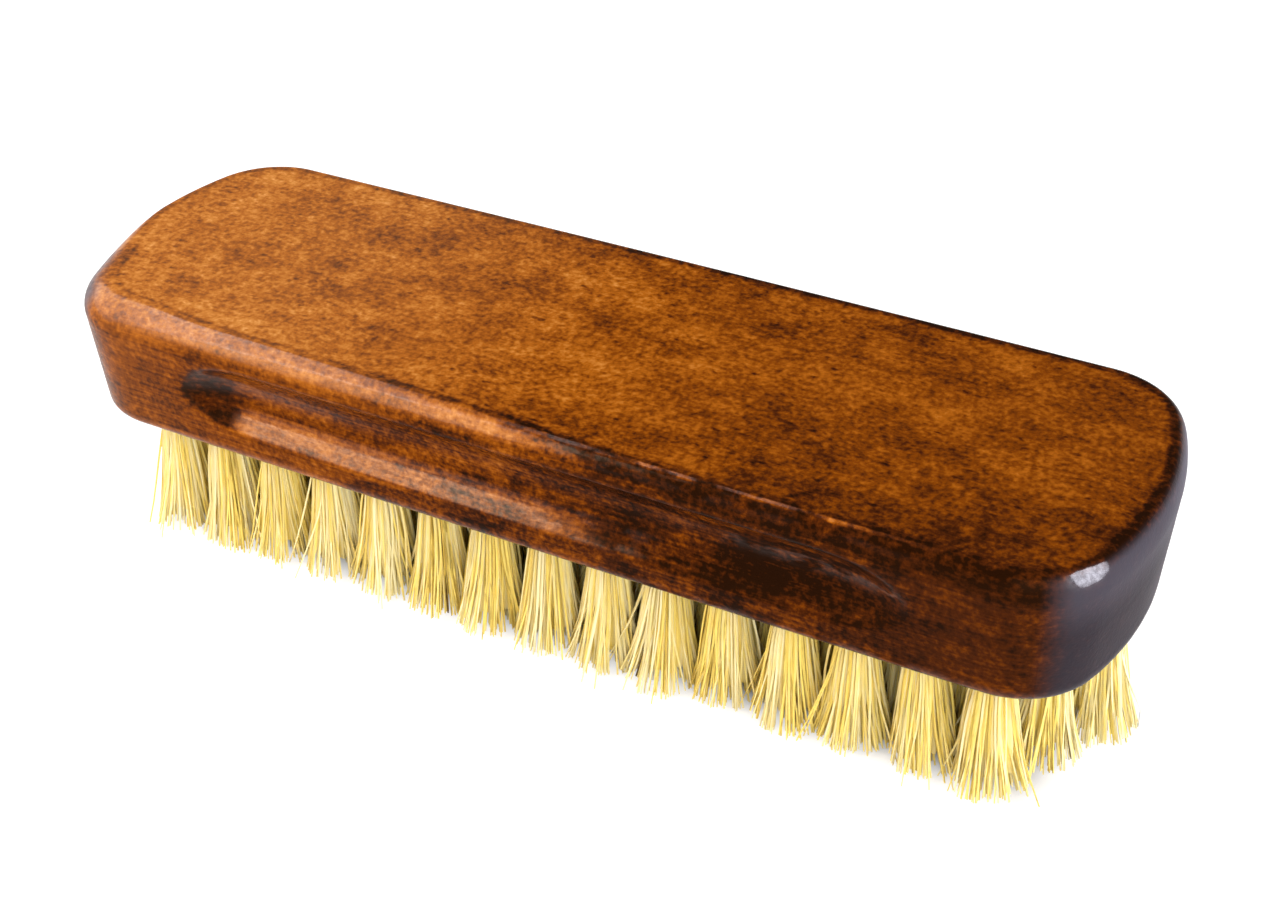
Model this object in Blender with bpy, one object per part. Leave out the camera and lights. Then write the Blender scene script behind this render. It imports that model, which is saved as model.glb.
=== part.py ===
# Leather cleaning brush: a one-piece wooden block with a finger groove along each
# long side, drilled on a staggered grid and filled with tufts of pale hog bristle.
# Metres, +Z up. The brush stands on its bristle tips, with its length along X and
# the origin under its middle, on the surface that it stands on.
import math
import random

import bmesh
import bpy
from mathutils import Matrix, Vector
from mathutils.geometry import intersect_sphere_sphere_2d

mm = 0.001

# Wooden block
block_length = 160 * mm
block_width = 50 * mm
block_height = 20.2 * mm
corner_radius = 13 * mm
end_bow = 6.8 * mm  # how far each end swells out over the block's width
side_bow = 0.4 * mm  # how far each long side swells out over the block's length
side_draft = 1 * mm  # how far the walls lean in towards the bristles
top_roll_width = 1.9 * mm  # the rounded rim of the top, seen from above
top_roll_depth = 4.1 * mm  # the same rim, seen from the side
bottom_ease = 1.5 * mm  # radius of the rim of the drilled face

# Finger grooves, one along each long side
groove_length = 110 * mm
groove_radius = 7.5 * mm  # of the hollow, seen from the block's end
groove_depth = 2.6 * mm
groove_height = 10 * mm  # of the hollow's middle over the drilled face
groove_runout = 12 * mm  # length in which each end of the hollow rises to the wall

# Drilling: a staggered grid, without the holes that would come too near the wall
row_count = 5
middle_count = 17  # tufts in the middle row
end_margin = 6.4 * mm  # from the block's end to the middle of the nearest tuft
side_margin = 8.8 * mm  # from the block's side to the middles of the outer rows
least_wood = 2 * mm  # between a hole and the outside of the block
hole_depth = 11 * mm
fit_gap = 0.3 * mm  # between a tuft and the wood round it

# Tufts
tuft_diameter = 4.8 * mm  # across the packed root
bristle_length = 20.5 * mm  # from the drilled face to the trimmed tips
root_recess = 1 * mm  # the strands part this far inside the hole
strand_gap = 0.3 * mm
tip_width = 1.2 * mm  # side of a strand's three-sided tip
trim_depth = 0.5 * mm  # what the flat trim takes off the longest strands
length_spread = 0.9 * mm  # longest strand over the shortest, before the trim
slice_thickness = 1.2 * mm  # slice of backing that joins the inner tufts of a line
splay_share = 0.03  # how much wider the field is at its tips than at its roots
jitter_share = 0.1  # unevenness of the tips within a tuft
strands_per_tuft = 6

# Facets
end_steps = 5
corner_steps = 9
side_steps = 4
roll_steps = 5
ease_steps = 3
hole_sides = 12
groove_sides = 28
runout_steps = 6
sharp_angle = math.radians(40)  # edges turned more than this stay crisp in shading

overrun = 2 * mm  # cutters run past the faces that they cut

half_length = block_length / 2
half_width = block_width / 2
quarter_turn = math.pi / 2
tuft_pitch = (block_length - 2 * end_margin) / (middle_count - 1)
row_pitch = (block_width - 2 * side_margin) / (row_count - 1)
root_radius = tuft_diameter / 2
root_apothem = root_radius * math.cos(math.pi / strands_per_tuft)
hole_radius = (root_radius + fit_gap) / math.cos(math.pi / hole_sides)
underside = bristle_length
hole_end = underside + hole_depth
root_top = hole_end - fit_gap
root_mouth = underside + root_recess


def clear_scene():
    for obj in list(bpy.data.objects):
        bpy.data.objects.remove(obj, do_unlink=True)


def principled(name, colour, roughness):
    material = bpy.data.materials.new(name)
    material.use_nodes = True
    shader = material.node_tree.nodes["Principled BSDF"]
    shader.inputs["Base Color"].default_value = (*colour, 1)
    shader.inputs["Roughness"].default_value = roughness
    shader.inputs["Metallic"].default_value = 0
    material.diffuse_color = (*colour, 1)
    return material


def add_object(name, bm, material=None, parent=None):
    mesh = bpy.data.meshes.new(name)
    bmesh.ops.recalc_face_normals(bm, faces=bm.faces)
    bm.to_mesh(mesh)
    bm.free()
    if material:
        mesh.materials.append(material)
    obj = bpy.data.objects.new(name, mesh)
    obj.parent = parent
    bpy.context.scene.collection.objects.link(obj)
    return obj


def add_cutter(name, bm, target):
    cutter = add_object(name, bm)
    cutter.hide_render = True
    cutter.display_type = "WIRE"
    cut = target.modifiers.new(name, "BOOLEAN")
    cut.operation = "DIFFERENCE"
    cut.solver = "EXACT"
    cut.object = cutter


def loft(bm, rings):
    # A closed skin over rings of points, each ring with as many points as the next.
    loops = []
    for ring in rings:
        verts = [bm.verts.new(point) for point in ring]
        loops.append([bm.edges.new((verts[i - 1], verts[i])) for i in range(len(verts))])
    for lower, upper in zip(loops, loops[1:]):
        bmesh.ops.bridge_loops(bm, edges=lower + upper)
    for rim in (loops[0], loops[-1]):
        bmesh.ops.contextual_create(bm, geom=rim)


# The outline of the block, seen from above


def arc_points(centre, radius, start, stop, steps):
    # Pairs of a point on the arc and the direction square to the arc there.
    pairs = []
    for step in range(steps):
        angle = start + (stop - start) * step / steps
        outward = Vector((math.cos(angle), math.sin(angle)))
        pairs.append((centre + outward * radius, outward))
    return pairs


def block_outline():
    # A quarter is three arcs that meet smoothly: half an end, a corner and half a side.
    end_radius = (half_width**2 + end_bow**2) / (2 * end_bow)
    side_radius = (half_length**2 + side_bow**2) / (2 * side_bow)
    end_centre = Vector((half_length - end_radius, 0))
    side_centre = Vector((0, half_width - side_radius))
    meetings = intersect_sphere_sphere_2d(
        end_centre, end_radius - corner_radius, side_centre, side_radius - corner_radius
    )
    corner_centre = max(meetings, key=lambda point: point.x + point.y)
    from_end = corner_centre - end_centre
    from_side = corner_centre - side_centre
    end_angle = math.atan2(from_end.y, from_end.x)
    side_angle = math.atan2(from_side.y, from_side.x)
    quarter = arc_points(end_centre, end_radius, 0, end_angle, end_steps)
    quarter += arc_points(corner_centre, corner_radius, end_angle, side_angle, corner_steps)
    quarter += arc_points(side_centre, side_radius, side_angle, quarter_turn, side_steps)
    side_middle = (Vector((0, half_width)), Vector((0, 1)))

    outline = []
    for flip in (Vector((1, 1)), Vector((-1, 1)), Vector((-1, -1)), Vector((1, -1))):
        pairs = quarter
        if flip.x * flip.y < 0:
            pairs = [side_middle] + quarter[:0:-1]
        outline += [(point * flip, outward * flip) for point, outward in pairs]
    return outline


def wall_distance(place, outline):
    # From a place inside the outline to its nearest side; below zero outside it.
    return min((point - place).dot(outward) for point, outward in outline)


# The wooden block


def block_profile():
    # (inset from the outline, height) up the wall, from the drilled face to the top.
    profile = []
    for step in range(ease_steps + 1):
        angle = quarter_turn * step / ease_steps
        inset = side_draft + bottom_ease * (1 - math.sin(angle))
        profile.append((inset, underside + bottom_ease * (1 - math.cos(angle))))
    roll_start = underside + block_height - top_roll_depth
    for step in range(roll_steps + 1):
        angle = quarter_turn * step / roll_steps
        inset = top_roll_width * (1 - math.cos(angle))
        profile.append((inset, roll_start + top_roll_depth * math.sin(angle)))
    return profile


def block_mesh(outline):
    bm = bmesh.new()
    rings = []
    for inset, height in block_profile():
        corners = [point - outward * inset for point, outward in outline]
        rings.append([Vector((corner.x, corner.y, height)) for corner in corners])
    loft(bm, rings)
    return bm


def groove_cutter_mesh():
    # A lying rod on each side, thinned towards its ends like an ellipse, so that the
    # hollow runs out gently. Its axis lies outside the wall.
    axis_to_wall = groove_radius - groove_depth
    half_chord = math.sqrt(groove_radius**2 - axis_to_wall**2)
    thinning_length = groove_runout * groove_radius / half_chord
    straight_half = groove_length / 2 - groove_runout
    last_angle = math.acos((axis_to_wall - overrun) / groove_radius)
    stations = []
    for step in range(runout_steps + 1):
        angle = last_angle * step / runout_steps
        reach = straight_half + thinning_length * math.sin(angle)
        stations.append((reach, groove_radius * math.cos(angle)))
    stations = [(-reach, radius) for reach, radius in reversed(stations)] + stations

    draft_height = block_height - top_roll_depth - bottom_ease
    wall_inset = side_draft * (1 - (groove_height - bottom_ease) / draft_height)
    axis_height = underside + groove_height
    bm = bmesh.new()
    for side in (-1, 1):
        axis_y = side * (half_width - wall_inset + axis_to_wall)
        rings = []
        for reach, radius in stations:
            ring = []
            for corner in range(groove_sides):
                angle = 2 * math.pi * corner / groove_sides
                y = axis_y + radius * math.cos(angle)
                ring.append(Vector((reach, y, axis_height + radius * math.sin(angle))))
            rings.append(ring)
        loft(bm, rings)
    return bm


# The drilling pattern


def tuft_rows(outline):
    # Rows of tuft places along X, by row number: row 0 runs down the middle of the
    # block, and odd rows are set half a pitch aside. Each place has its own number.
    rows = {}
    last_row = row_count // 2
    last_place = middle_count // 2
    for row in range(-last_row, last_row + 1):
        aside = tuft_pitch / 2 * (row % 2)
        places = {}
        for number in range(-last_place, last_place + 1 - row % 2):
            place = Vector((number * tuft_pitch + aside, row * row_pitch))
            if wall_distance(place, outline) >= hole_radius + least_wood:
                places[number] = place
        rows[row] = places
    return rows


def tuft_groups(rows):
    # The outer rows stand tuft by tuft. Tufts of the inner rows that bear the same
    # number stand together, because there are more tufts than separate pieces allowed.
    outer = max(rows)
    groups = {}
    for side, row in (("near", -outer), ("far", outer)):
        for order, number in enumerate(sorted(rows[row]), 1):
            groups[f"tuft_{side}_{order:02d}"] = [rows[row][number]]
    inner_rows = range(1 - outer, outer)
    numbers = sorted({number for row in inner_rows for number in rows[row]})
    for order, number in enumerate(numbers, 1):
        line = [rows[row][number] for row in inner_rows if number in rows[row]]
        groups[f"tufts_inner_{order:02d}"] = line
    return groups


def slice_ends(first, second):
    # A slice of backing runs between the facing flats of two neighbouring roots.
    flat_turn = 2 * math.pi / strands_per_tuft
    towards = second - first
    angle = round(math.atan2(towards.y, towards.x) / flat_turn) * flat_turn
    step = Vector((math.cos(angle), math.sin(angle))) * root_apothem
    return first + step, second - step


# Holes and slots that the tufts sit in


def hole_cutter_mesh(groups):
    bm = bmesh.new()
    mouth = underside - overrun
    for place in (place for group in groups.values() for place in group):
        middle = Vector((place.x, place.y, (mouth + hole_end) / 2))
        bmesh.ops.create_cone(
            bm,
            cap_ends=True,
            segments=hole_sides,
            radius1=hole_radius,
            radius2=hole_radius,
            depth=hole_end - mouth,
            matrix=Matrix.Translation(middle),
        )
    return bm


def slot_cutter_mesh(groups):
    # The slots lie inside the wood and open only into the holes that they join.
    bm = bmesh.new()
    margin = slice_margin() - fit_gap
    bottom = root_mouth + margin
    top = root_top - margin
    for group in groups.values():
        for first, second in zip(group, group[1:]):
            start, stop = slice_ends(first, second)
            middle = (start + stop) / 2
            along = stop - start
            size = Vector((along.length, slice_thickness + 2 * fit_gap, top - bottom))
            turn = Matrix.Rotation(math.atan2(along.y, along.x), 4, "Z")
            place = Matrix.Translation((middle.x, middle.y, (bottom + top) / 2))
            bmesh.ops.create_cube(bm, size=1, matrix=place @ turn @ Matrix.Diagonal((*size, 1)))
    return bm


# Tufts


def slice_margin():
    # From the edge of a root's flat side to the slice in its middle.
    flat_width = 2 * root_radius * math.sin(math.pi / strands_per_tuft)
    return (flat_width - slice_thickness) / 2


def add_root(bm, place):
    # The packed root is a prism with as many sides as the tuft has strands.
    middle = Vector((place.x, place.y, (root_mouth + root_top) / 2))
    made = bmesh.ops.create_cone(
        bm,
        cap_ends=True,
        segments=strands_per_tuft,
        radius1=root_radius,
        radius2=root_radius,
        depth=root_top - root_mouth,
        matrix=Matrix.Translation(middle),
    )
    return {face for vert in made["verts"] for face in vert.link_faces}


def facing(faces, direction):
    return max(faces, key=lambda face: face.normal.dot(direction))


def join_roots(bm, groups_of_faces, places):
    bm.normal_update()
    for i in range(len(places) - 1):
        start, stop = slice_ends(places[i], places[i + 1])
        towards = (stop - start).to_3d()
        first = facing(groups_of_faces[i], towards)
        second = facing(groups_of_faces[i + 1], -towards)
        bmesh.ops.inset_individual(bm, faces=[first, second], thickness=slice_margin())
        edges = list(first.edges) + list(second.edges)
        groups_of_faces[i].discard(first)
        groups_of_faces[i + 1].discard(second)
        bmesh.ops.delete(bm, geom=[first, second], context="FACES_ONLY")
        bmesh.ops.bridge_loops(bm, edges=edges)


def tip_ring_radius():
    # Each tuft opens until it nearly meets its nearest neighbour.
    neighbour = min(tuft_pitch, math.hypot(tuft_pitch / 2, row_pitch))
    tip_radius = tip_width / math.sqrt(3)
    reach = (neighbour - strand_gap) / 2 - tip_radius
    return reach / (1 + jitter_share)


def grow_strands(bm, mouth, place, chance):
    # The mouth of the root is cut into sectors, and each sector is drawn out downwards
    # into one three-sided strand that leans away from the tuft's middle.
    sectors = bmesh.ops.poke(bm, faces=[mouth])["faces"]
    bmesh.ops.inset_individual(bm, faces=sectors, thickness=strand_gap / 2)
    drawn = bmesh.ops.extrude_discrete_faces(bm, faces=sectors)["faces"]
    spread_middle = place * (1 + splay_share)
    for tip in drawn:
        root = tip.calc_center_median()
        outward = root.to_2d() - place
        turn = math.atan2(outward.y, outward.x)
        turn += chance.uniform(-jitter_share, jitter_share)
        reach = tip_ring_radius() * (1 + chance.uniform(-jitter_share, jitter_share))
        centre = spread_middle + Vector((math.cos(turn), math.sin(turn))) * reach
        uncut = length_spread * chance.random() - trim_depth
        centre = Vector((centre.x, centre.y, max(0, uncut)))
        shrink = tip_width / tip.edges[0].calc_length()
        for vert in tip.verts:
            vert.co = centre + (vert.co - root) * shrink


def tuft_mesh(places, chance):
    bm = bmesh.new()
    faces_of_roots = [add_root(bm, place) for place in places]
    join_roots(bm, faces_of_roots, places)
    for faces, place in zip(faces_of_roots, places):
        mouth = facing(faces, Vector((0, 0, -1)))
        grow_strands(bm, mouth, place, chance)
    return bm


def build_brush():
    clear_scene()
    wood = principled("stained_beech", (0.30, 0.10, 0.022), 0.28)
    hog_bristle = principled("hog_bristle", (0.72, 0.55, 0.24), 0.55)
    brush = bpy.data.objects.new("brush", None)
    bpy.context.scene.collection.objects.link(brush)

    outline = block_outline()
    groups = tuft_groups(tuft_rows(outline))
    block = add_object("wooden_block", block_mesh(outline), wood, brush)
    add_cutter("groove_cutter", groove_cutter_mesh(), block)
    add_cutter("hole_cutter", hole_cutter_mesh(groups), block)
    add_cutter("slot_cutter", slot_cutter_mesh(groups), block)
    block.data.shade_smooth()
    block.data.set_sharp_from_angle(angle=sharp_angle)

    for seed, (name, places) in enumerate(groups.items()):
        chance = random.Random(seed)
        add_object(name, tuft_mesh(places, chance), hog_bristle, brush)
    tufts = sum(len(places) for places in groups.values())
    print(f"{tufts} tufts, {tufts * strands_per_tuft} strands")


build_brush()
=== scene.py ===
import math

import bpy
import numpy as np
from mathutils import Matrix, Quaternion, Vector


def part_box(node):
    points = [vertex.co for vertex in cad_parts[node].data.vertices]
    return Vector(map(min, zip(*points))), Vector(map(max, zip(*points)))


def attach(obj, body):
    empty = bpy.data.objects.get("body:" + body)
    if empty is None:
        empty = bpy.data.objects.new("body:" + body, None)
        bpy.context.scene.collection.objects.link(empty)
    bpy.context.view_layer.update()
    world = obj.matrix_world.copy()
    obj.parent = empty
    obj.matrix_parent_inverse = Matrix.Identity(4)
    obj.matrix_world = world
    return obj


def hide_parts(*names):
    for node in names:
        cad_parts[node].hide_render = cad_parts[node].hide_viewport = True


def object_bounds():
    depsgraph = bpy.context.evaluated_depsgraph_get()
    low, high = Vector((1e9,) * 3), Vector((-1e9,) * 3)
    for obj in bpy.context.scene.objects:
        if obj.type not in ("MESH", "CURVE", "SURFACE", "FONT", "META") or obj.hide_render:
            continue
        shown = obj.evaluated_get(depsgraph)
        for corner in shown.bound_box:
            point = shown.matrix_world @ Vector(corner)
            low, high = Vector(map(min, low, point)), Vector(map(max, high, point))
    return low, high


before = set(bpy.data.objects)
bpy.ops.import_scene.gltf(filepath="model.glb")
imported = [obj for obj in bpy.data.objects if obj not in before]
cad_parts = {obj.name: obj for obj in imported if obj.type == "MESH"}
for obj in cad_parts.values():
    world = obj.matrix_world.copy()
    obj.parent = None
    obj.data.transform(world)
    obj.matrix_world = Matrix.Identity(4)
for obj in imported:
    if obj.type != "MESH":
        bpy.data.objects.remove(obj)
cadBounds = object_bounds()
print("frame:", len(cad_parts), "nodes loaded")

mm = 0.001


# Meshes

def makePiece(name, points, faceSets, material):
    # points is an (n, 3) array, and each face set an array of rows of 3 or 4 indices
    mesh = bpy.data.meshes.new(name)
    mesh.vertices.add(len(points))
    mesh.vertices.foreach_set("co", points.astype(np.float32).ravel())
    corners = np.concatenate([faces.ravel() for faces in faceSets])
    sizes = np.concatenate([np.full(len(faces), faces.shape[1]) for faces in faceSets])
    mesh.loops.add(len(corners))
    mesh.loops.foreach_set("vertex_index", corners.astype(np.int32))
    mesh.polygons.add(len(sizes))
    mesh.polygons.foreach_set("loop_start", (np.cumsum(sizes) - sizes).astype(np.int32))
    mesh.update(calc_edges=True)
    mesh.materials.append(material)
    mesh.shade_smooth()
    piece = bpy.data.objects.new(name, mesh)
    bpy.context.scene.collection.objects.link(piece)
    return piece


def paint(piece, name, values):
    # one number per vertex, for the piece's material to read
    attribute = piece.data.attributes.new(name, "FLOAT", "POINT")
    attribute.data.foreach_set("value", values.astype(np.float32).ravel())


def wrapQuads(rings, columns):
    # quads between each ring of points and the next, closed round the ring
    ring = np.arange(rings - 1)[:, None] * columns
    here = np.arange(columns)[None, :]
    there = (here + 1) % columns
    quads = np.stack([ring + here, ring + there, ring + columns + there, ring + columns + here], -1)
    return quads.reshape(-1, 4)


def smoothStep(low, high, values, start=0.0, stop=1.0):
    # start up to low, stop from high on, and the cubic 3t^2 - 2t^3 between them
    t = np.clip((values - low) / (high - low), 0, 1)
    return start + (stop - start) * t * t * (3 - 2 * t)


# Shader helpers

def newMaterial(name):
    material = bpy.data.materials.new(name)
    material.use_nodes = True
    return material, material.node_tree, material.node_tree.nodes["Principled BSDF"]


def newGroup(name, inputs, outputs):
    # inputs and outputs are lists of (name, kind, value)
    group = bpy.data.node_groups.new(name, "ShaderNodeTree")
    for direction, sockets in (("INPUT", inputs), ("OUTPUT", outputs)):
        for label, kind, value in sockets:
            socket = group.interface.new_socket(label, in_out=direction, socket_type="NodeSocket" + kind)
            if value is not None:
                socket.default_value = value
    return group, group.nodes.new("NodeGroupInput"), group.nodes.new("NodeGroupOutput")


def setSockets(node, values):
    for label, value in values.items():
        node.inputs[label].default_value = value


def addNode(tree, kind, settings=None, **inputs):
    # inputs are linked when they are sockets, and set when they are values
    node = tree.nodes.new(kind)
    for name, value in (settings or {}).items():
        setattr(node, name, value)
    for name, value in inputs.items():
        socket = node.inputs[int(name[1:])] if name[0] == "_" else node.inputs[name]
        if isinstance(value, bpy.types.NodeSocket):
            tree.links.new(value, socket)
        else:
            socket.default_value = value
    return node


def addMath(tree, operation, first, second=0.0, third=0.0, clamp=False):
    settings = {"operation": operation, "use_clamp": clamp}
    return addNode(tree, "ShaderNodeMath", settings, _0=first, _1=second, _2=third).outputs[0]


def addSum(tree, total, *terms):
    for term in terms:
        total = addMath(tree, "ADD", total, term)
    return total


def addProduct(tree, product, *factors):
    for factor in factors:
        product = addMath(tree, "MULTIPLY", product, factor)
    return product


def addBlend(tree, share, first, second):
    node = addNode(tree, "ShaderNodeMix", {"data_type": "RGBA"}, _0=share, _6=first, _7=second)
    return node.outputs[2]


def addNoise(tree, vector, size, detail=2.0, roughness=0.5):
    # noise whose features are about size metres long along X, Y and Z
    scaled = addNode(tree, "ShaderNodeVectorMath", {"operation": "DIVIDE"}, _0=vector, _1=size)
    noise = addNode(tree, "ShaderNodeTexNoise", None, Vector=scaled.outputs[0], Scale=1.0, Detail=detail,
                    Roughness=roughness)
    return noise.outputs["Fac"]


def addRemap(tree, value, fromLow, fromHigh, toLow=0.0, toHigh=1.0):
    node = addNode(tree, "ShaderNodeMapRange", {"interpolation_type": "SMOOTHSTEP"}, _0=value, _1=fromLow,
                   _2=fromHigh, _3=toLow, _4=toHigh)
    return node.outputs[0]


# Wood

woodFinish = {
    # stain colours from the deepest to the palest, each with its place on the tone scale
    "stains": (
        (0.00, (0.014, 0.004, 0.0010, 1)),
        (0.20, (0.065, 0.014, 0.002, 1)),
        (0.40, (0.190, 0.044, 0.002, 1)),
        (0.60, (0.350, 0.098, 0.006, 1)),
        (0.80, (0.500, 0.180, 0.026, 1)),
        (1.00, (0.640, 0.290, 0.080, 1)),
    ),
    # the end grain's dark colour, and the lilac grey that its grain and a painted sheen blend in
    "endGrainAndSheen": ((0.027, 0.024, 0.030, 1), (0.120, 0.108, 0.132, 1)),
    "endTone": (0.2, 0.75, 0.0, 0.48),
    # the grey tan of a painted sheen that pales and greys the top towards the left
    "paintedSheenColour": (0.40, 0.23, 0.12, 1),
    # how far each mask lowers the tone, and the lowest tone that they leave
    "depths": {"wall": 0.175, "roll": 0.44, "groove": 0.44, "rim": 0.27, "nearRight": 0.18, "far": 0.05},
    "deepest": 0.06,
    # the noises that make up the figure: size, detail, share of the tone and share of the relief
    "figure": {
        "blotches": ((12 * mm, 8 * mm, 8 * mm), 3.0, 0.55, 0.0),
        "clouds": ((3.2 * mm, 2.8 * mm, 2.8 * mm), 2.0, 0.35, 0.0),
        "flecks": ((0.85 * mm, 0.8 * mm, 0.8 * mm), 3.0, 0.78, 1.0),
        "fibres": ((3.5 * mm, 0.35 * mm, 0.35 * mm), 1.0, 0.12, 1.0),
    },
    "figureRoughness": 0.55,
    "driftScale": 55.0,
    "drift": (2 * mm, 3 * mm, 3 * mm),
    "specks": ((2.4 * mm, 1.4 * mm, 1.4 * mm), 1.0, 0.5),
    "speckRange": (0.66, 0.78),
    "topSpecks": 0.20,
    "wallSpecks": 0.04,
    "wallContrast": 0.65,
    "addedMiddleContrast": 0.4,
    "streaks": ((14 * mm, 0.5 * mm, 0.5 * mm), 1.0, 0.5),
    "streakDepth": 0.45,
    # how far the painted highlight lifts the tone: a paler base colour that stands in for highlights
    "paintedHighlightLift": 0.20,
    # gloss: the roughness over a range of tones, and what is added to it
    "roughness": (0.2, 0.8, 0.24, 0.14),
    "addedRoughness": {"endStain": 0.22, "grooveStainAndShade": 0.20},
    "bumpStrength": 0.5,
    "bumpDistance": 0.08 * mm,
    "shader": {"IOR": 1.10, "Specular Tint": (1.0, 0.60, 0.35, 1), "Coat Roughness": 0.13, "Coat IOR": 1.6},
    # the lacquer on each part of the block, and how strong the painted highlight is on each
    "plainCoat": 0.03,
    "coats": {"roll": 0.49, "edge": 0.24, "groove": 0.55, "lip": 0.24, "lowRim": 0.40, "worn": 0.62},
    "paintedHighlightShares": {"groove": 0.75, "edge": 1.6, "lowRim": 0.45},
}
# Over each ramp, between two places on an axis, a value goes from the first number to the second
woodRamps = {
    # the tone falls from the left to the right: partly the stain's own and partly painted light, paler where
    # the light is stronger on the left
    "tone": ("X", -90 * mm, 45 * mm, 0.64, 0.475),
    "contrast": ("X", -60 * mm, 40 * mm, 1.4, 1.0),
    "nearRight": ("X", -10 * mm, 50 * mm, 0.0, 1.0),
    "nearSide": ("Y", 8 * mm, -20 * mm, 0.0, 1.0),
    "farSide": ("Y", -12 * mm, 20 * mm, 0.0, 1.0),
    # the band of stain and painted shadow on the roll lies towards the right
    "rollRight": ("X", -5 * mm, 40 * mm, 0.0, 1.0),
    # the walls are darkened, more towards the right and at the left end: partly stain and partly painted
    # shade
    "wall": ("X", -50 * mm, 70 * mm, 1.28, 1.63),
    "wallPatches": ("X", -40 * mm, 10 * mm, 0.0, 0.55),
    "wallPatchesRight": ("X", 60 * mm, 40 * mm, 0.45, 1.0),
    "wallLeft": ("X", -50 * mm, -72 * mm, 0.0, 0.35),
    "grooveLeft": ("X", 0.0, -40 * mm, 0.7, 1.0),
    "rimRight": ("X", -30 * mm, 50 * mm, 1.2, 2.8),
    "wholeLeft": ("X", 20 * mm, -10 * mm, 0.0, 1.0),
    "wholeRight": ("X", 60 * mm, 66 * mm, 0.0, 1.0),
    "streaksRight": ("X", 40 * mm, 60 * mm, 1.0, 0.5),
    "middleLeft": ("X", -48 * mm, -5 * mm, 0.0, 1.0),
    "middleRight": ("X", 60 * mm, 45 * mm, 0.0, 1.0),
    # the painted sheen on the top towards the left, and how much of it the walls keep off
    "paintedSheenLeft": ("X", 5 * mm, -50 * mm, 0.0, 0.12),
    "noPaintedSheenWall": ("X", -75 * mm, -45 * mm, 0.3, 1.0),
    # the painted sheen on the end grain, paler towards the far side and the top
    "endSheenFarSide": ("Y", -6 * mm, 16 * mm, 0.0, 0.5),
    "endTop": ("Z", 30 * mm, 38 * mm, 0.0, 0.35),
}
# Patterns that break up the masks: size, detail and roughness of a noise, and how it is stretched
woodPatterns = {
    "patches": (((7 * mm, 3 * mm, 3 * mm), 2.0, 0.5), (0.35, 0.6, 0.0, 1.0)),
    "brokenRim": (((3.2 * mm, 1.6 * mm, 1.6 * mm), 2.0, 0.6), (0.36, 0.56, 0.4, 1.0)),
    "pores": (((0.8 * mm, 0.5 * mm, 0.5 * mm), 2.0, 0.6), (0.35, 0.65, 0.70, 1.2)),
    "worn": (((5 * mm, 2 * mm, 2 * mm), 2.0, 0.6), (0.42, 0.58, 0.0, 1.0)),
}
paintedMasks = ("wallStainAndShade", "rollStainAndShadow", "grooveStainAndShade", "rimStain", "endStain", "paintedHighlight", "lacquer")


def makeGrainGroup():
    # Tone is a level plus four noises about zero, from broad blotches down to fine fibres
    group, start, end = newGroup(
        "stainedGrain",
        [("Vector", "Vector", None), ("Level", "Float", 0.5), ("Contrast", "Float", 1.0)],
        [("Tone", "Float", None), ("Specks", "Float", None), ("Relief", "Float", None)],
    )
    place = start.outputs["Vector"]
    # The fibres waver: a slow noise pushes the pattern sideways
    drift = addNode(group, "ShaderNodeTexNoise", None, Vector=place, Scale=woodFinish["driftScale"],
                    Detail=1.0)
    centred = addNode(group, "ShaderNodeVectorMath", {"operation": "SUBTRACT"}, _0=drift.outputs["Color"],
                      _1=(0.5, 0.5, 0.5))
    wavy = addNode(group, "ShaderNodeVectorMath", {"operation": "MULTIPLY_ADD"}, _0=centred.outputs[0],
                   _1=woodFinish["drift"], _2=place).outputs[0]
    figure, relief = 0.0, 0.0
    for size, detail, toneShare, reliefShare in woodFinish["figure"].values():
        noise = addNoise(group, wavy, size, detail, woodFinish["figureRoughness"])
        noise = addMath(group, "SUBTRACT", noise, 0.5)
        figure = addMath(group, "MULTIPLY_ADD", noise, toneShare, figure)
        relief = addMath(group, "MULTIPLY_ADD", noise, reliefShare, relief)
    tone = addMath(group, "MULTIPLY_ADD", figure, start.outputs["Contrast"], start.outputs["Level"])
    specks = addRemap(group, addNoise(group, wavy, *woodFinish["specks"]), *woodFinish["speckRange"])
    for label, output in (("Tone", tone), ("Specks", specks), ("Relief", relief)):
        group.links.new(output, end.inputs[label])
    return group


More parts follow.
